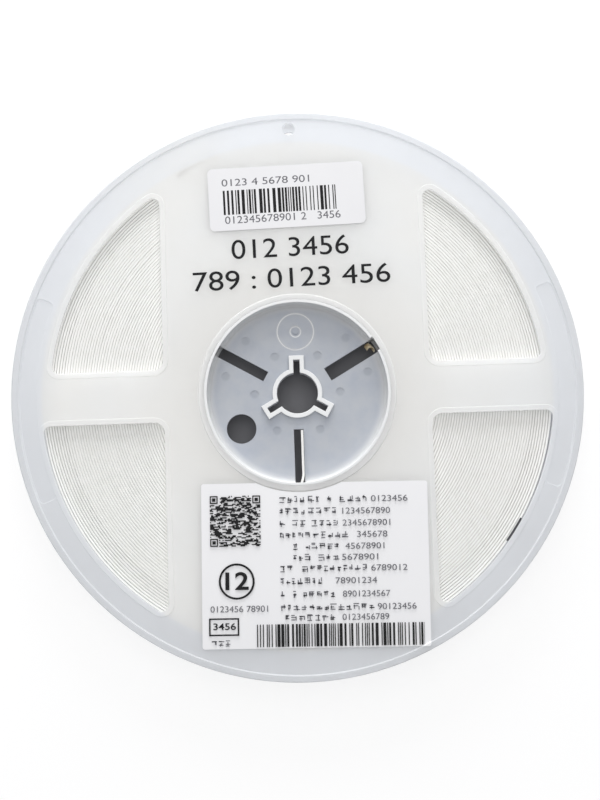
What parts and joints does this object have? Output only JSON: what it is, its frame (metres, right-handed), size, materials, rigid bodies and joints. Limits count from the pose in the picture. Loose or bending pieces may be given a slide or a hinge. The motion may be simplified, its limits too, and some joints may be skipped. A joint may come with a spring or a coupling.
{
  "type": "smd tape reel",
  "caption": "Flat plastic supply reel for narrow component tape: two windowed flanges on a slotted hub with a keyed centre hole, wound full of paper tape and labelled.",
  "frame": {"origin": "on the reel's axis, in the plane of the rear flange's rim, which the reel lies on", "axes": "+Z along the axis, out of the labelled face; +Y from the axis towards the small rim hole and the upper label; +X to the right when the labels are read upright"},
  "size_m": [0.18, 0.18, 0.0119],
  "materials": {
    "flange_plastic": "frosted translucent polystyrene, moulded",
    "hub_plastic": "translucent polystyrene, moulded, with a bluish grey cast",
    "tape_paper": "uncoated white paper tape seen on its cut edge",
    "adhesive_film": "thin yellowish adhesive tape",
    "dark_film": "short black film strip, seen on its edge",
    "label_paper": "smooth white label paper, printed in black"
  },
  "bodies": {
    "root": {"front_flange": "flange_plastic", "rear_flange": "flange_plastic", "hub": "hub_plastic", "carrier_tape": "tape_paper", "end_tab": "adhesive_film", "edge_strip": "dark_film", "upper_label": "label_paper", "lower_label": "label_paper"}
  },
  "joints": []
}
